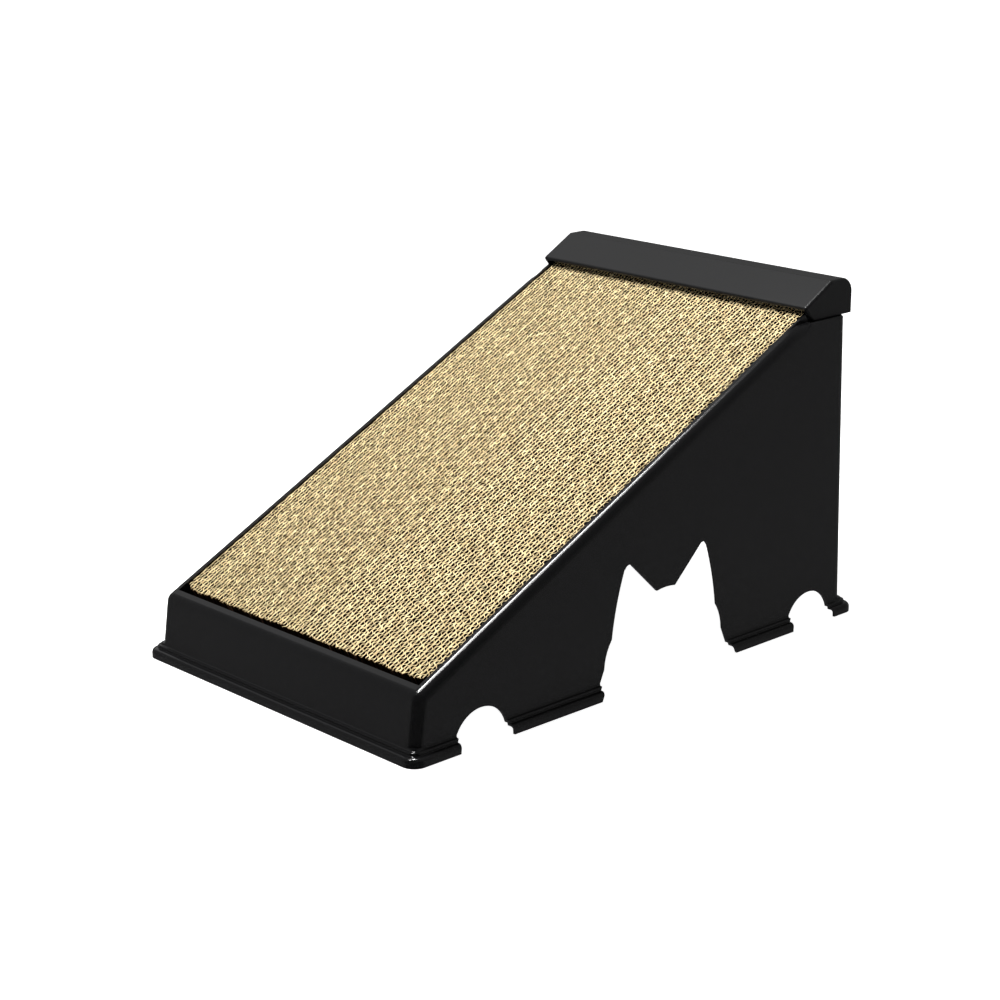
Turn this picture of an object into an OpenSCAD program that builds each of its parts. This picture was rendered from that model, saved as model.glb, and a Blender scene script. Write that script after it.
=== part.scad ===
// Scratching ramp for a cat: a moulded housing, a lift-off end cap, and a pad of glued
// corrugated strips that stands on edge in the housing's sloping tray.
// Millimetres. +Y climbs the ramp, +Z is up, and the origin is under the middle of the base.
// Lengths along Y are measured from the skirt's front edge, and in_frame() centres them.

/* [Housing] */
// Width over the skirt
base_w = 260; // [240:1:300]
// Length over the skirt
base_l = 402; // [400:1:404]
// Angle of the ramp
slope = 26.5; // [26.2:0.1:26.7]
// Height at which the rim's plane, carried forward, meets the skirt's front edge
rim_z = 35.6; // [35:0.1:36]
// Height of the ledge beside the end cap
ledge_z = 206.4; // [204:0.2:206.4]
// Lean of the front wall
front_draft = 7.9; // [5:0.1:10]
// Lean of the back wall
back_draft = 2; // [0:0.1:3]
// Thickness of the moulded walls
wall = 1.6; // [1.5:0.1:1.9]
// Rounding of the housing's outer edges
edge_r = 7; // [6:0.5:7.5]
// Radius of the bend from the slope to the ledge, seen from the side
bend_r = 45; // [30:5:90]

/* [Skirt] */
// How far the skirt stands out from the walls
flare = 6.4; // [6:0.1:7]
// Radius of the skirt's corners, seen from above
skirt_r = 9; // [8.8:0.1:10]
// Height of the skirt's upper step
step_z = 8.2; // [7.5:0.1:9]
// Height of the skirt's bead
bead_z = 5.9; // [5:0.1:6.5]

/* [Side openings] */
// Radius of the small arches
arch_r = 21.5; // [16:0.5:24]
// Distance of the front arch from the skirt's front edge
front_arch_y = 59; // [50:1:66]
// Distance of the rear arch from the skirt's front edge
rear_arch_y = 359; // [340:1:362]
// Distance of the cat's head from the skirt's front edge
head_y = 217.7; // [205:0.1:230]
// Height of the head's crown
crown_z = 58.5; // [50:0.5:62]
// Height of the ear tips
ear_z = 80.7; // [70:0.1:84]
// Width of the opening in the back wall
back_open_w = 224; // [150:1:226]
// Height of the opening in the back wall
back_open_h = 44; // [30:1:60]

/* [Tray and pad] */
// Width of the tray
tray_w = 232; // [231.8:0.1:233]
// Distance from the skirt's front edge to the tray's front edge, measured level
tray_front = 17.3; // [17:0.1:18]
// Length of the tray along the slope
tray_len = 388; // [387:1:388]
// Height of the pad
pad_h = 25; // [18:1:28]
// How far the pad's top lies below the rim
pad_sunk = 1; // [0.5:0.5:3]
// Length of the pad
pad_len = 381; // [370:1:382]
// Rounding of the pad's corners
pad_corner_r = 9; // [4:1:14]
// Strips in the left half of the pad
left_strips = 20; // [16:1:20]
// Strips in the right half of the pad
right_strips = 19; // [16:1:19]
// Thickness of a strip in the left half
left_strip_t = 5.72; // [5.6:0.02:5.74]
// Thickness of a strip in the right half
right_strip_t = 6.08; // [5.9:0.02:6.1]

/* [End cap] */
// Width of the end cap
cap_w = 241; // [236:1:241]
// Thickness of the end cap
cap_t = 2.2; // [1.8:0.1:2.4]
// Height of the end cap's top
cap_top = 230.5; // [230:0.1:231]
// Height of the end cap's lower edge
cap_bottom = 206.7; // [206.7:0.1:207.4]
// Rounding of the end cap's back edge
cap_back_r = 10; // [6:1:11]
// Rounding of the end cap's other edges
cap_edge_r = 1.9; // [1.4:0.1:2.2]

/* [Hidden] */
left_end_x = -115.2;                    // left face of the pad
half_gap = 0.3;                         // gap between the pad's two halves
strips = left_strips + right_strips;
function strip_name(i) = str("pad_strip_", i < 10 ? "0" : "", i);

gap = 0.3;                              // clearance between pieces that come apart
half_wall_x = base_w / 2 - flare;       // side walls, outer face
wall_base_z = 9;                        // height at which the leaning walls stand at the flare
skirt_pivot = skirt_r - flare;          // from the wall's face in to the centre of the skirt's corners
tray_depth = pad_sunk + pad_h + gap;    // tray floor below the rim's plane
tray_s = tray_front / cos(slope);       // start of the tray along the slope
tray_end_s = tray_s + tray_len;
pad_s = tray_end_s - 2 - pad_len;       // start of the pad along the slope
shoulder_front = 352;                   // where the ledge's crisp edge has its full height
shoulder_chamfer = 0.8;
rib_h = 6;
rib_t = 1.6;
rib_pitch = 62;
below = 20;                             // how far cutting shapes run past the solid
arc_steps = 8;

cap_lip = [348.6, 215.7];               // upper edge of the lip, as [y, z]
cap_crease = [375.3, cap_top];          // where the sloping front meets the flat top
cap_back = 397.2;
cap_heel = [356.4, cap_bottom];         // lower front corner of the cap's ends
web_t = 2;
web_x = 78;

block_front = 345;                      // front of the block that carries the end cap
block_back = 380;
block_foot_z = 190;
block_w = cap_w - 2 * (cap_t + gap);
block_top = cap_top - cap_t - gap;

function rim_at(y) = rim_z + y * tan(slope);
// A point given along the slope (s) and square to it (n), as [y, z]
function on_rim(s, n) = [s * cos(slope) - n * sin(slope), rim_z + s * sin(slope) + n * cos(slope)];
function front_at(z) = flare + (z - wall_base_z) * tan(front_draft);
function back_at(z) = base_l - flare - (z - wall_base_z) * tan(back_draft);
function arc(c, r, a0, a1, n = arc_steps) =
    [for (i = [0 : n]) let (a = a0 + (a1 - a0) * i / n) c + r * [cos(a), sin(a)]];
function bezier(p, q, r, n = arc_steps) =
    [for (i = [0 : n]) let (t = i / n) (1 - t) * (1 - t) * p + 2 * t * (1 - t) * q + t * t * r];
function flip(points) = [for (i = [len(points) - 1 : -1 : 0]) [-points[i][0], points[i][1]]];

module in_frame() { translate([0, -base_l / 2, 0]) children(); }

// Carries a [y, z] outline sideways, centred on x = 0
module across(width) {
    translate([-width / 2, 0, 0]) rotate([90, 0, 90]) linear_extrude(width) children();
}

// Places children in the rim's plane: x across, y along the slope, z square to it
module on_slope() { translate([0, 0, rim_z]) rotate([slope, 0, 0]) children(); }

module above_floor() {
    translate([-base_w, -base_l, 0]) cube([2 * base_w, 3 * base_l, 2 * base_w]);
}

// The housing's side outline, drawn in by edge_r on every side
module core_outline() {
    lean = edge_r / cos(front_draft);
    back_lean = edge_r / cos(back_draft);
    drop = edge_r / cos(slope);
    // where the drawn-in front wall meets the drawn-in slope
    top_y = (front_at(0) + lean + (rim_z - drop) * tan(front_draft))
          / (1 - tan(slope) * tan(front_draft));
    low_z = ledge_z - edge_r;
    meet_y = (low_z - rim_z + drop) / tan(slope);
    core_bend = bend_r - edge_r;
    tangent = core_bend * tan(slope / 2);
    polygon(concat(
        [[front_at(-below) + lean, -below], [top_y, rim_at(top_y) - drop]],
        arc([meet_y + tangent, low_z - core_bend], core_bend, 90 + slope, 90),
        [[back_at(low_z) - back_lean, low_z], [back_at(-below) - back_lean, -below]]
    ));
}

// The wedge with its edges rounded by r: edge_r gives its outside, and less gives its inside
module wedge(r) {
    minkowski() {
        across(2 * (half_wall_x - edge_r)) core_outline();
        sphere(r, $fn = 32);
    }
}

// The crisp ledge under the end cap, which fades forwards into the rounded edge of the slope
module shoulder() {
    fade_y = shoulder_front - 20;
    fade_z = rim_at(fade_y) - 2 * edge_r;
    hull() {
        for (level = [[fade_z - edge_r, 0], [ledge_z - shoulder_chamfer, 0], [ledge_z, shoulder_chamfer]]) {
            x = half_wall_x - edge_r;
            y = back_at(level[0]) - edge_r;
            for (side = [-1, 1])
                translate([side * x, y, level[0] - 0.01]) cylinder(r = edge_r - level[1], h = 0.01, $fn = 32);
        }
        across(2 * half_wall_x) polygon([
            [fade_y, fade_z], [shoulder_front, ledge_z - shoulder_chamfer], [fade_y, fade_z - edge_r]
        ]);
        across(2 * (half_wall_x - shoulder_chamfer)) polygon([
            [shoulder_front, ledge_z], [shoulder_front + 1, ledge_z], [shoulder_front, ledge_z - 1]
        ]);
    }
}

// The skirt's section: how far out from the wall, and how high
function skirt_section() = concat(
    [[-skirt_pivot, 0], [-skirt_pivot, step_z + 1.4]],
    arc([1.4, step_z + 1.4], 1.4, 180, 270),
    arc([1.8, step_z - 0.6], 0.6, 90, 0, 4),
    arc([2.9, bead_z + 0.5], 0.5, 180, 270, 4),
    arc([flare - 3, bead_z - 3], 3, 90, 0),
    [[flare, 0]]
);

// The hollow under the skirt, one wall inside its section
function skirt_hollow() = concat(
    [[-skirt_pivot, -below], [-skirt_pivot, bead_z + 0.2], [0.6, bead_z + 0.2], [0.6, bead_z - wall]],
    arc([flare - 3, bead_z - 3], 3 - wall, 90, 0, 4),
    [[flare - wall, -below]]
);

// Runs a section round the base
module around_base(section) {
    x = base_w / 2 - skirt_r;
    y = base_l / 2 - skirt_r;
    ring = [for (p = section) [p[0] + skirt_pivot, p[1]]];
    translate([0, base_l / 2, 0]) {
        for (side = [0, 180]) rotate([0, 0, side]) {
            translate([x, y, 0]) rotate([90, 0, 0]) linear_extrude(2 * y) polygon(ring);
            translate([-x, y, 0]) rotate([90, 0, 90]) linear_extrude(2 * x) polygon(ring);
            translate([x, y, 0]) rotate_extrude(angle = 90, $fn = 64) polygon(ring);
            translate([-x, y, 0]) rotate([0, 0, 90]) rotate_extrude(angle = 90, $fn = 64) polygon(ring);
        }
    }
}

// Half of the cat's head, from the crown down to the floor
function head_half() = concat(
    [[0, crown_z], [4.2, crown_z - 0.2], [8.3, crown_z - 0.8]],
    arc([33.9, ear_z - 3.7], 3.7, 148, 18),
    bezier([37.9, ear_z - 2.2], [45.8, 57], [48.4, 35.4]),
    bezier([48.4, 35.4], [54.2, 27.6], [54.8, 17.3], 5),
    [[62.5, 0], [62.5, -below]]
);

module side_openings() {
    across(base_w + 2 * below) {
        translate([head_y, 0]) polygon(concat(flip(head_half()), head_half()));
    }
    for (y = [front_arch_y, rear_arch_y])
        translate([-base_w, y, 0]) rotate([0, 90, 0]) cylinder(r = arch_r, h = 2 * base_w, $fn = 96);
}

// Lets a cat or a toy in under the high end
module back_opening() {
    corner = arch_r;
    translate([0, base_l + below, 0]) rotate([90, 0, 0]) linear_extrude(3 * below) {
        translate([-back_open_w / 2, -below]) square([back_open_w, back_open_h + below - corner]);
        translate([-back_open_w / 2 + corner, 0]) square([back_open_w - 2 * corner, back_open_h]);
        for (side = [-1, 1])
            translate([side * (back_open_w / 2 - corner), back_open_h - corner]) circle(corner, $fn = 96);
    }
}

// The block behind the tray, which the end cap sits over, drawn in by inset
module block_outline(inset) {
    cap_slope = atan2(cap_crease[1] - cap_lip[1], cap_crease[0] - cap_lip[0]);
    under = (cap_t + gap + inset) / cos(cap_slope);   // below the cap's outer front face
    top = block_top - inset;
    ridge_y = cap_lip[0] + (top + under - cap_lip[1]) / tan(cap_slope);
    start = [block_front, rim_at(block_front) - inset / cos(slope)];
    foot = on_rim(tray_end_s + inset, -inset);
    // the block's front rises square to the slope until it meets the plane under the cap
    clear = cap_lip[1] + (foot[0] - cap_lip[0]) * tan(cap_slope) - under - foot[1];
    head = foot + clear / (cos(slope) + sin(slope) * tan(cap_slope)) * [-sin(slope), cos(slope)];
    polygon([
        [block_front, block_foot_z], start, foot, head, [ridge_y, top],
        [block_back - inset, top], [block_back - inset, block_foot_z]
    ]);
}

// The tray as a box whose top is open past the rim: grown by one wall it is the tray's outside
module tray_box(grow) {
    on_slope()
        translate([-tray_w / 2 - grow, tray_s - grow, -tray_depth - grow])
            cube([tray_w + 2 * grow, tray_len + 2 * grow, tray_depth + grow + (grow > 0 ? 0 : below)]);
}

module tray_ribs() {
    on_slope()
        for (i = [1 : 5])
            translate([-half_wall_x + 1, tray_s + i * rib_pitch, -tray_depth - wall - rib_h])
                cube([2 * half_wall_x - 2, rib_t, rib_h + 1]);
}

// One-piece moulded shell, open underneath
module housing() {
    color([0.035, 0.035, 0.037]) in_frame() difference() {
        intersection() {
            union() {
                difference() {
                    union() {
                        wedge(edge_r);
                        shoulder();
                        around_base(skirt_section());
                        across(block_w) block_outline(0);
                    }
                    wedge(edge_r - wall);
                    across(block_w - 2 * wall) block_outline(wall);
                    around_base(skirt_hollow());
                }
                tray_box(wall);
                tray_ribs();
            }
            above_floor();
        }
        tray_box(0);
        side_openings();
        back_opening();
    }
}

// The end cap's side outline, drawn in by inset
module cap_outline(inset) {
    offset(delta = -inset) polygon(concat(
        [cap_heel, cap_lip, cap_crease],
        arc([cap_back - cap_back_r, cap_top - cap_back_r], cap_back_r, 90, 0),
        [[cap_back, cap_bottom - below], [cap_heel[0], cap_bottom - below]]
    ));
}

// Lift-off cover of the ramp's high end
module top_cap() {
    hollow_w = cap_w - 2 * cap_t;
    color([0.045, 0.045, 0.047]) in_frame() difference() {
        union() {
            difference() {
                minkowski() {
                    across(cap_w - 2 * cap_edge_r) cap_outline(cap_edge_r);
                    sphere(cap_edge_r, $fn = 24);
                }
                cap_hollow(hollow_w);
            }
            // webs that keep the cap centred on the block
            for (x = [-web_x, 0, web_x])
                translate([x, 0, 0]) across(web_t) polygon([
                    [block_back + gap, cap_bottom], [block_back + gap, cap_top - cap_t - 4],
                    [cap_back - cap_t - 4, cap_top - cap_t], [cap_back - 1, cap_top - cap_back_r],
                    [cap_back - 1, cap_bottom]
                ]);
        }
        translate([-base_w, 0, cap_bottom - 2 * below]) cube([2 * base_w, 2 * base_l, 2 * below]);
    }
}

module cap_hollow(width) {
    cap_slope = atan2(cap_crease[1] - cap_lip[1], cap_crease[0] - cap_lip[0]);
    drop = cap_t / cos(cap_slope);
    inner_top = cap_top - cap_t;
    inner_back_r = cap_back_r - cap_t;
    run = 12;                               // the hollow runs out past the lip
    across(width) polygon(concat(
        [[cap_lip[0] - run, cap_lip[1] - run * tan(cap_slope) - drop]],
        [[cap_lip[0] + (inner_top + drop - cap_lip[1]) / tan(cap_slope), inner_top]],
        arc([cap_back - cap_back_r, cap_top - cap_back_r], inner_back_r, 90, 0),
        [[cap_back - cap_t, cap_bottom - below], [cap_lip[0] - run, cap_bottom - below]]
    ));
}

// The pad's outline in the rim's plane
module pad_plan(width) {
    r = pad_corner_r;
    for (x = [r, width - r], y = [r, pad_len - r]) translate([x, y]) circle(r, $fn = 48);
    translate([r, 0]) square([width - 2 * r, pad_len]);
    translate([0, r]) square([width, pad_len - 2 * r]);
}

// One strip of double-wall corrugated board, set on edge and glued to its neighbours
module pad_strip(i) {
    left = i <= left_strips;
    t = left ? left_strip_t : right_strip_t;
    right_start = left_strips * left_strip_t + half_gap;
    x = left ? (i - 1) * t : right_start + (i - 1 - left_strips) * t;
    pad_w = right_start + right_strips * right_strip_t;
    color([0.78, 0.68, 0.46]) in_frame() on_slope()
        translate([left_end_x, pad_s, -pad_sunk - pad_h]) linear_extrude(pad_h)
            intersection() {
                pad_plan(pad_w);
                translate([x, -1]) square([t, pad_len + 2]);
            }
}

housing();
top_cap();
for (i = [1 : strips])
    pad_strip(i);
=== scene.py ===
"""A cat's scratching ramp: black moulded housing and end cap, and a pad of corrugated board on edge."""

import math

import bpy
import numpy as np
from mathutils import Matrix, Vector


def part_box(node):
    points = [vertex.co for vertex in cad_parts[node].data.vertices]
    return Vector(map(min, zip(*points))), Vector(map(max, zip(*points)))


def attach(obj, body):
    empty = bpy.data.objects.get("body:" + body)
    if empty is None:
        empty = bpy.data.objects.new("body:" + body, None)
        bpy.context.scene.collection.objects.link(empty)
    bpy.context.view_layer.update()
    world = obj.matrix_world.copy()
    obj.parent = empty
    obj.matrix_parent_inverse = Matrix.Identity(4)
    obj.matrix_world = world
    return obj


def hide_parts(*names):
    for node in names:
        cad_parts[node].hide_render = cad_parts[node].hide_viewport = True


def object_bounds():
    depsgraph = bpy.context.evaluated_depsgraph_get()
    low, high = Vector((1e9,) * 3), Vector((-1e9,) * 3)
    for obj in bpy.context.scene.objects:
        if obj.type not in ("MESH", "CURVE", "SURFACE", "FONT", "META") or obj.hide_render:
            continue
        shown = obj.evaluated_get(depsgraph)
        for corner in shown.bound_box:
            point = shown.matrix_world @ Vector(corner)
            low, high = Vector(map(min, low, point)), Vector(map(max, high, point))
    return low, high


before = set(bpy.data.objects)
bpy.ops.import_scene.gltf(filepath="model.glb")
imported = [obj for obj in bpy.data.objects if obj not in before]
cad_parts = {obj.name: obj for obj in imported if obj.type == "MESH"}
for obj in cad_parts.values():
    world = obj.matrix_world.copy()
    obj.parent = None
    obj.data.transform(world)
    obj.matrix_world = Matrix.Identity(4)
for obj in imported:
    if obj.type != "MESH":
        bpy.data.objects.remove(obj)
cad_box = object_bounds()

MM = 0.001                  # one millimetre in metres
SEED = 11

# ---------------------------------------------------------------- camera, light and floor

LENS_MM = 84.19
VIEW_AZIMUTH = math.radians(46.45)
VIEW_ELEVATION = math.radians(16.84)
CAMERA_AT = Vector((1.0558, -1.0129, 0.5344))
LIGHT_AIM = Vector((0.0, 0.0, 0.1))
FLOOR_SIZE = 60.0
FLOOR_DROP = 0.0004         # floor below the skirt's bottom edge
# level direction from the ramp towards the camera, where the room is dark
DARK_SIDE = Vector((math.sin(VIEW_AZIMUTH), -math.cos(VIEW_AZIMUTH), 0.0))


def look_along(azimuth, elevation):
    """The direction in which a camera at that azimuth and elevation looks."""
    level = math.cos(elevation)
    return Vector((-math.sin(azimuth) * level, math.cos(azimuth) * level, -math.sin(elevation)))


def add_camera():
    data = bpy.data.cameras.new("camera")
    data.sensor_width = 36.0
    data.lens = LENS_MM
    data.clip_end = 100.0
    camera = bpy.data.objects.new("camera", data)
    camera.location = CAMERA_AT
    camera.rotation_euler = look_along(VIEW_AZIMUTH, VIEW_ELEVATION).to_track_quat("-Z", "Y").to_euler()
    bpy.context.scene.collection.objects.link(camera)
    bpy.context.scene.camera = camera
    bpy.context.scene.view_settings.view_transform = "Standard"


def add_strip_light(name, start, end, width, power):
    """A long narrow light that runs from start to end and shines on the ramp."""
    along = end - start
    down = (LIGHT_AIM - (start + end) / 2).normalized()
    down = (down - down.project(along)).normalized()
    data = bpy.data.lights.new(name, "AREA")
    data.shape = "RECTANGLE"
    data.size, data.size_y = along.length, width
    data.energy = power
    lamp = bpy.data.objects.new(name, data)
    axis_x = along.normalized()
    axis_z = -down
    axis_y = axis_z.cross(axis_x)
    turn = Matrix((axis_x, axis_y, axis_z)).transposed()
    lamp.matrix_world = Matrix.Translation((start + end) / 2) @ turn.to_4x4()
    bpy.context.scene.collection.objects.link(lamp)


def add_softbox(name, towards, distance, size, power):
    """An area light that shines on the ramp from that direction."""
    data = bpy.data.lights.new(name, "AREA")
    data.shape = "RECTANGLE"
    data.size, data.size_y = size
    data.energy = power
    lamp = bpy.data.objects.new(name, data)
    lamp.location = LIGHT_AIM + Vector(towards).normalized() * distance
    lamp.rotation_euler = (LIGHT_AIM - lamp.location).to_track_quat("-Z", "Y").to_euler()
    bpy.context.scene.collection.objects.link(lamp)


def add_room():
    """The room's glow: pale behind the ramp, and dark on the camera's side."""
    world = bpy.data.worlds.new("room")
    bpy.context.scene.world = world
    world.use_nodes = True
    tree = world.node_tree
    tree.nodes.clear()
    out = tree.nodes.new("ShaderNodeOutputWorld")
    glow = tree.nodes.new("ShaderNodeBackground")
    place = tree.nodes.new("ShaderNodeTexCoord")
    side = tree.nodes.new("ShaderNodeVectorMath")
    side.operation = "DOT_PRODUCT"
    side.inputs[1].default_value = DARK_SIDE
    dim = tree.nodes.new("ShaderNodeMapRange")
    dim.interpolation_type = "SMOOTHSTEP"
    dim.inputs["From Min"].default_value = 0.10
    dim.inputs["From Max"].default_value = 0.55
    dim.inputs["To Min"].default_value = 0.20
    dim.inputs["To Max"].default_value = 0.0
    tree.links.new(place.outputs["Generated"], side.inputs[0])
    tree.links.new(side.outputs["Value"], dim.inputs["Value"])
    tree.links.new(dim.outputs["Result"], glow.inputs["Strength"])
    glow.inputs["Color"].default_value = (1.0, 1.0, 1.0, 1.0)
    tree.links.new(glow.outputs[0], out.inputs[0])


def add_floor():
    bpy.ops.mesh.primitive_plane_add(size=FLOOR_SIZE, location=(0.0, 0.0, -FLOOR_DROP))
    floor = bpy.context.object
    floor.name = "floor"
    material = bpy.data.materials.new("pale_floor")
    material.use_nodes = True
    shader = material.node_tree.nodes["Principled BSDF"]
    shader.inputs["Base Color"].default_value = (0.8, 0.8, 0.8, 1.0)
    shader.inputs["Roughness"].default_value = 1.0
    shader.inputs["Specular IOR Level"].default_value = 0.0
    shader.inputs["Emission Color"].default_value = (1.0, 1.0, 1.0, 1.0)
    shader.inputs["Emission Strength"].default_value = 1.0
    floor.data.materials.append(material)
    floor.visible_glossy = False


# ---------------------------------------------------------------- plastic

def black_plastic(name, colour, roughness):
    """Satin black plastic with a fine moulded grain."""
    material = bpy.data.materials.new(name)
    material.use_nodes = True
    tree = material.node_tree
    shader = tree.nodes["Principled BSDF"]
    shader.inputs["Base Color"].default_value = (*colour, 1.0)
    shader.inputs["IOR"].default_value = 1.45
    shader.inputs["Specular IOR Level"].default_value = 0.42
    place = tree.nodes.new("ShaderNodeTexCoord")
    grain = tree.nodes.new("ShaderNodeTexNoise")
    grain.inputs["Scale"].default_value = 1400.0
    grain.inputs["Detail"].default_value = 2.0
    bump = tree.nodes.new("ShaderNodeBump")
    bump.inputs["Strength"].default_value = 0.05
    bump.inputs["Distance"].default_value = 0.0001
    smear = tree.nodes.new("ShaderNodeTexNoise")
    smear.inputs["Scale"].default_value = 9.0
    smear.inputs["Detail"].default_value = 3.0
    spread = tree.nodes.new("ShaderNodeMapRange")
    spread.inputs["To Min"].default_value = roughness - 0.03
    spread.inputs["To Max"].default_value = roughness + 0.03
    tree.links.new(place.outputs["Object"], grain.inputs["Vector"])
    tree.links.new(place.outputs["Object"], smear.inputs["Vector"])
    tree.links.new(grain.outputs["Fac"], bump.inputs["Height"])
    tree.links.new(bump.outputs["Normal"], shader.inputs["Normal"])
    tree.links.new(smear.outputs["Fac"], spread.inputs["Value"])
    tree.links.new(spread.outputs["Result"], shader.inputs["Roughness"])
    return material


def finish_moulding(node, material):
    """Gives a CAD moulding its plastic, and shades its rounded edges smoothly."""
    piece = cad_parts[node]
    piece.data.materials.clear()
    piece.data.materials.append(material)
    piece.data.shade_smooth()
    piece.data.set_sharp_from_angle(angle=math.radians(28.0))
    weigh = piece.modifiers.new("flat_faces_stay_flat", "WEIGHTED_NORMAL")
    weigh.weight = 90
    weigh.keep_sharp = True


# ---------------------------------------------------------------- corrugated pad

SLOPE = math.radians(26.5)
RIM_Z = 35.6                # height at which the rim's plane meets the skirt's front edge
BASE_HALF = cad_box[1][1] / MM
PAD_SUNK = 1.0              # pad's top below the rim's plane
PAD_H = 25.0
PAD_LEN = 381.0
PAD_CORNER_R = 9.0
TRAY_FRONT = 17.3
TRAY_LEN = 388.0
TRAY_END_GAP = 2.0
FLUTE_PITCH = 6.4
SAMPLE_STEP = 0.65          # distance between a sheet's cross-sections
PAPER = 0.30                # thickness of a sheet below its crushed edge
SKIN = 0.12                 # outer liners' gap from the strip's sides
FLUTE_GAP = PAPER * 0.8     # flutes' gap from the middles of the liners they run between
CREST_CLIP = 1.5            # above 1, it flattens the flutes' crests against the liners
END_OVERHANG = 1.2          # how far a sheet's lower end may reach past the strip's
END_DEPTH = 1.2             # distance from its ends over which a sheet turns brown
FRAY_DEPTH = 0.24           # depth over which the cut edge is crushed wider
PAINTED_SHADE_DEPTH = 0.24           # depth below the cut edge over which the paper is painted almost black, as painted shade inside the flutes
WIDE_SHARE = 0.52           # the wider layer's share of a strip's thickness
MAX_WIDTH = 2.6             # widest crushed edge
PATCH = 4.5                 # size of the patches in which the edges are crushed more or less


def slope_to_frame(x, s, n):
    """Points given across, along and square to the slope, in mm, as points in the frame, in metres."""
    y = s * math.cos(SLOPE) - n * math.sin(SLOPE) - BASE_HALF
    z = RIM_Z + s * math.sin(SLOPE) + n * math.cos(SLOPE)
    return np.stack([x, y, z], axis=-1) * MM


def smooth_noise(rng, count, reach):
    """Random values from -1 to 1 that vary over about reach samples."""
    knots = rng.uniform(-1.0, 1.0, int(count / reach) + 3)
    return np.interp(np.arange(count) / reach, np.arange(len(knots)), knots)


def patch(x, s):
    """Slow waves from -1 to 1 over the pad's top: the edges are crushed wide at 1 and open at -1."""
    first = np.sin(x / PATCH * 2.1 + 1.3 * np.sin(s / PATCH * 1.1))
    first = first * np.sin(s / PATCH * 1.7 + 0.9 * np.sin(x / PATCH))
    second = np.sin((x + 1.7 * s) / PATCH * 0.9 + 2.0) * np.sin((1.6 * x - s) / PATCH * 1.3 + 0.5)
    return 0.6 * first + 0.4 * second


def sheet_sections(centre, top_width, height, s, foot):
    """The six corners of each of a sheet's cross-sections, in mm: x, s and n, each (samples, 6)."""
    low = np.full_like(s, foot)
    neck = height - FRAY_DEPTH
    half_top, half_paper = top_width / 2, PAPER / 2
    x = np.stack([centre - half_paper, centre - half_paper, centre - half_top,
                  centre + half_top, centre + half_paper, centre + half_paper], axis=1)
    n = np.stack([low, neck, height, height, neck, low], axis=1)
    return x, np.repeat(s[:, None], 6, axis=1), n


def sheet_faces(samples, start):
    """Quads that close a run of six-cornered sections, as vertex numbers from start on."""
    ring = np.arange(6)
    first = start + 6 * np.arange(samples - 1)[:, None] + ring
    after = start + 6 * np.arange(samples - 1)[:, None] + (ring + 1) % 6
    walls = np.stack([first, after, after + 6, first + 6], axis=-1).reshape(-1, 4)
    last = start + 6 * (samples - 1)
    ends = [[start + 5, start + 4, start + 1, start], [start + 4, start + 3, start + 2, start + 1],
            [last, last + 1, last + 4, last + 5], [last + 1, last + 2, last + 3, last + 4]]
    return np.concatenate([walls, np.array(ends)])


def corner_trim(x_from_side):
    """How far a sheet's end draws back at the pad's rounded corner."""
    if x_from_side >= PAD_CORNER_R:
        return 0.0
    across = PAD_CORNER_R - x_from_side
    return PAD_CORNER_R - math.sqrt(max(PAD_CORNER_R ** 2 - across ** 2, 0.0))


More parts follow.
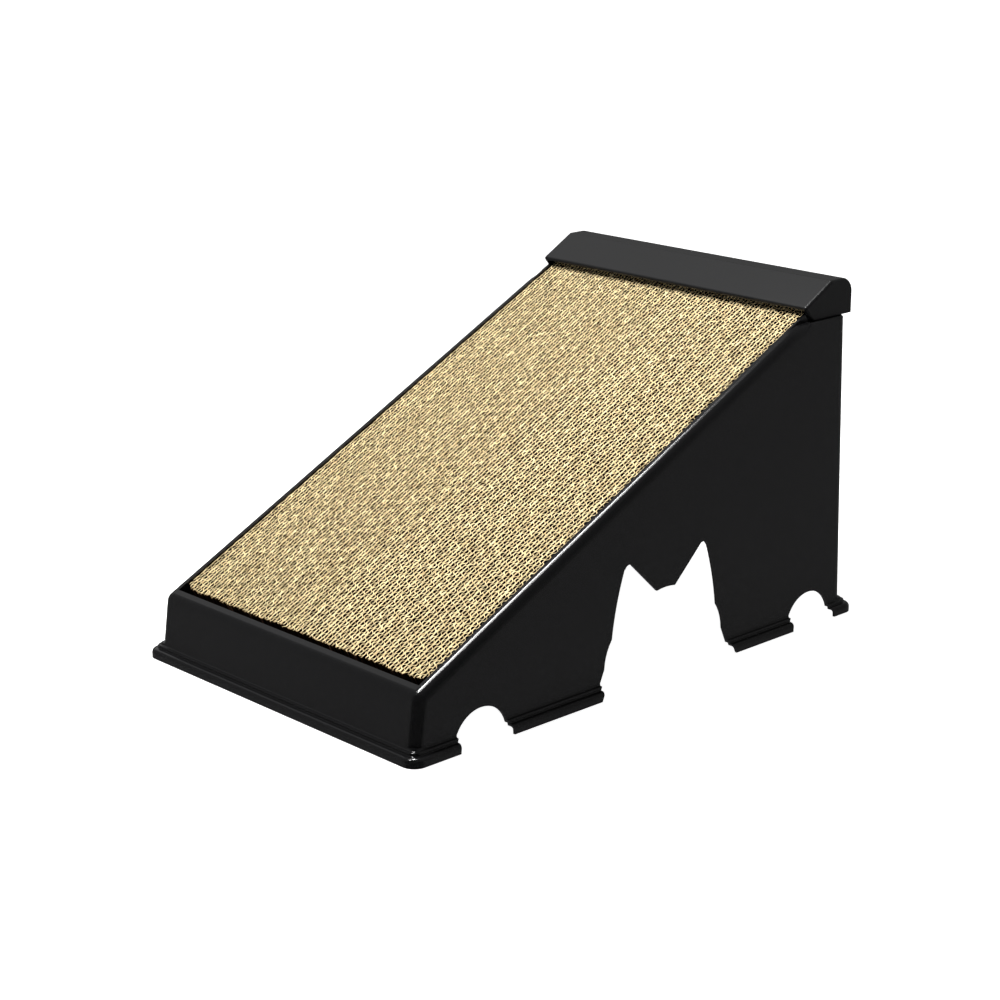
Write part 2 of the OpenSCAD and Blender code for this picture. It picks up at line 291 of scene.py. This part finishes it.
def build_strip(node, rng, look):
    """One strip of double-wall board: three liners with a fluted sheet between each pair."""
    low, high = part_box(node)
    x0, x1 = low.x / MM, high.x / MM
    pad_start = TRAY_FRONT / math.cos(SLOPE) + TRAY_LEN - TRAY_END_GAP - PAD_LEN
    thick = x1 - x0
    foot = -PAD_SUNK - PAD_H
    sheets = []
    inset = PAPER * 0.5 + SKIN
    for share in (0.0, WIDE_SHARE, 1.0):
        sheets.append((x0 + inset + share * (thick - 2 * inset), 0.0))
    for first, last in ((0.0, WIDE_SHARE), (WIDE_SHARE, 1.0)):
        middle = x0 + inset + (first + last) / 2 * (thick - 2 * inset)
        sheets.append((middle, (last - first) / 2 * (thick - 2 * inset) - FLUTE_GAP))
    phase = rng.uniform(0.0, 2 * math.pi)
    corners, faces, tone_and_painted_shade = [], [], []
    count = 0
    for number, (centre, sway) in enumerate(sheets):
        trim = corner_trim(min(centre - PAD_X0, PAD_X1 - centre))
        ragged = 0.5 + 0.7 * math.sin(centre / 17.0) * math.sin(centre / 7.0 + 1.0)
        start = pad_start + trim - END_OVERHANG + abs(rng.normal(ragged, 0.5))
        end = pad_start + PAD_LEN - trim - abs(rng.normal(0.3, 0.4))
        samples = int((end - start) / SAMPLE_STEP)
        s = np.linspace(start, end, samples)
        wave = phase + number * 0.6 + smooth_noise(rng, samples, 60) * 0.7
        crush = 1.0 - 0.2 * np.clip(smooth_noise(rng, samples, 10), 0.0, 1.0)
        ripple = np.clip(CREST_CLIP * np.sin(2 * math.pi * s / FLUTE_PITCH + wave), -1.0, 1.0)
        x = centre + sway * crush * ripple
        x = x + smooth_noise(rng, samples, 9) * look["wander"]
        steep = np.sqrt(1.0 + np.gradient(x, s) ** 2)
        crushed = patch(centre, s)
        uneven = 1.0 + 0.40 * smooth_noise(rng, samples, 3) + look["patches"] * crushed
        spots = np.clip(0.6 * smooth_noise(rng, samples, 4) + crushed - 0.5, 0.0, 1.0)
        width = look["flute" if sway else "liner"] * uneven + look["spots"] * spots
        height = (-PAD_SUNK - 0.05 - look["rough"] * (0.5 + 0.5 * smooth_noise(rng, samples, 4))
                  - 0.2 * rng.uniform(0.0, 1.0, samples))
        half = look["liner"] / 2
        x = np.clip(x, x0 + half * 0.5, x1 - half * 0.5)
        width = np.minimum(width * steep, MAX_WIDTH)
        px, ps, pn = sheet_sections(x, width, height, s, foot)
        corners.append(slope_to_frame(px, ps, pn).reshape(-1, 3))
        faces.append(sheet_faces(samples, count))
        glow = np.clip(look["glow"] + 0.34 * smooth_noise(rng, samples, 3)
                       + 0.10 * rng.uniform(-1.0, 1.0, samples) + rng.normal(0.0, 0.05), 0.0, 1.0)
        # painted shade: from the crushed edge down, the paper turns almost black, standing in for the
        # shade inside the flutes
        depth = np.clip((height[:, None] - pn) / PAINTED_SHADE_DEPTH, 0.0, 1.0)
        cut = np.clip(1.0 - np.minimum(s - start, end - s) / END_DEPTH, 0.0, 1.0)
        glow, cut = (np.repeat(shade[:, None], 6, axis=1) for shade in (glow, cut))
        tone_and_painted_shade.append(np.stack([glow, depth, cut, np.ones_like(depth)], axis=-1).reshape(-1, 4))
        count += samples * 6
    mesh = bpy.data.meshes.new(node + "_board")
    mesh.from_pydata(np.concatenate(corners).tolist(), [], np.concatenate(faces).tolist())
    # the paper attribute carries the random tone, the painted shade inside the flutes and the darkening
    # towards the sheets' ends
    layer = mesh.color_attributes.new("paper", "FLOAT_COLOR", "POINT")
    layer.data.foreach_set("color", np.concatenate(tone_and_painted_shade).astype(np.float32).ravel())
    mesh.update()
    piece = bpy.data.objects.new(node + "_board", mesh)
    bpy.context.scene.collection.objects.link(piece)
    return piece


def board_material(name, pale, brown):
    """Kraft paper: pale to brown at random where the cut edge catches light, painted almost black below
    it as painted shade down in the flutes, and darker brown towards each sheet's ends.
    """
    material = bpy.data.materials.new(name)
    material.use_nodes = True
    tree = material.node_tree
    shader = tree.nodes["Principled BSDF"]
    shader.inputs["Roughness"].default_value = 0.9
    shader.inputs["Specular IOR Level"].default_value = 0.15
    paper = tree.nodes.new("ShaderNodeAttribute")
    paper.attribute_name = "paper"
    split = tree.nodes.new("ShaderNodeSeparateColor")
    tone = tree.nodes.new("ShaderNodeMix")
    tone.data_type = "RGBA"
    tone.inputs["A"].default_value = (*brown, 1.0)
    tone.inputs["B"].default_value = (*pale, 1.0)
    # painted shade: mixes the paper towards near-black down in the flutes
    painted_shade_mix = tree.nodes.new("ShaderNodeMix")
    painted_shade_mix.data_type = "RGBA"
    painted_shade_mix.inputs["B"].default_value = (0.008, 0.0045, 0.003, 1.0)
    ends = tree.nodes.new("ShaderNodeMix")
    ends.data_type = "RGBA"
    ends.inputs["B"].default_value = (0.16, 0.075, 0.035, 1.0)
    soften = tree.nodes.new("ShaderNodeMath")
    soften.operation = "MULTIPLY"
    soften.inputs[1].default_value = 0.7
    tree.links.new(paper.outputs["Color"], split.inputs["Color"])
    tree.links.new(split.outputs["Red"], tone.inputs["Factor"])
    tree.links.new(tone.outputs["Result"], painted_shade_mix.inputs["A"])
    tree.links.new(split.outputs["Green"], painted_shade_mix.inputs["Factor"])
    tree.links.new(painted_shade_mix.outputs["Result"], ends.inputs["A"])
    tree.links.new(split.outputs["Blue"], soften.inputs[0])
    tree.links.new(soften.outputs[0], ends.inputs["Factor"])
    tree.links.new(ends.outputs["Result"], shader.inputs["Base Color"])
    return material


add_camera()
add_room()
add_floor()
strip_ends = (Vector((-0.10, -0.68, 1.27)), Vector((-0.10, 0.15, 1.33)))
add_strip_light("overhead_strip", *strip_ends, 0.08, 30.0)
add_softbox("left_softbox", (-0.80, 0.20, 0.55), 1.9, (1.3, 1.3), 2.2)

finish_moulding("housing", black_plastic("housing_plastic", (0.0042, 0.0042, 0.0045), 0.17))
finish_moulding("top_cap", black_plastic("cap_plastic", (0.0035, 0.0035, 0.0038), 0.38))

strip_nodes = sorted(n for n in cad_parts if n.startswith("pad_strip_"))
PAD_X0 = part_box(strip_nodes[0])[0].x / MM
PAD_X1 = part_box(strip_nodes[-1])[1].x / MM
LEFT_STRIPS = 20
SHARED_LOOK = {"glow": 0.68, "patches": 0.45, "spots": 0.9}
LEFT_LOOK = {"liner": 0.48, "flute": 0.50, "rough": 0.4, "wander": 0.26, **SHARED_LOOK}
RIGHT_LOOK = {"liner": 0.54, "flute": 0.52, "rough": 0.3, "wander": 0.22, **SHARED_LOOK}
BROWN = (0.34, 0.22, 0.085)
left_board = board_material("left_board", (0.86, 0.71, 0.40), BROWN)
right_board = board_material("right_board", (0.86, 0.71, 0.41), BROWN)

for number, node in enumerate(strip_nodes):
    left = number < LEFT_STRIPS
    rng = np.random.default_rng(SEED + number)
    strip = build_strip(node, rng, LEFT_LOOK if left else RIGHT_LOOK)
    strip.data.materials.append(left_board if left else right_board)
    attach(strip, "pad")
    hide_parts(node)
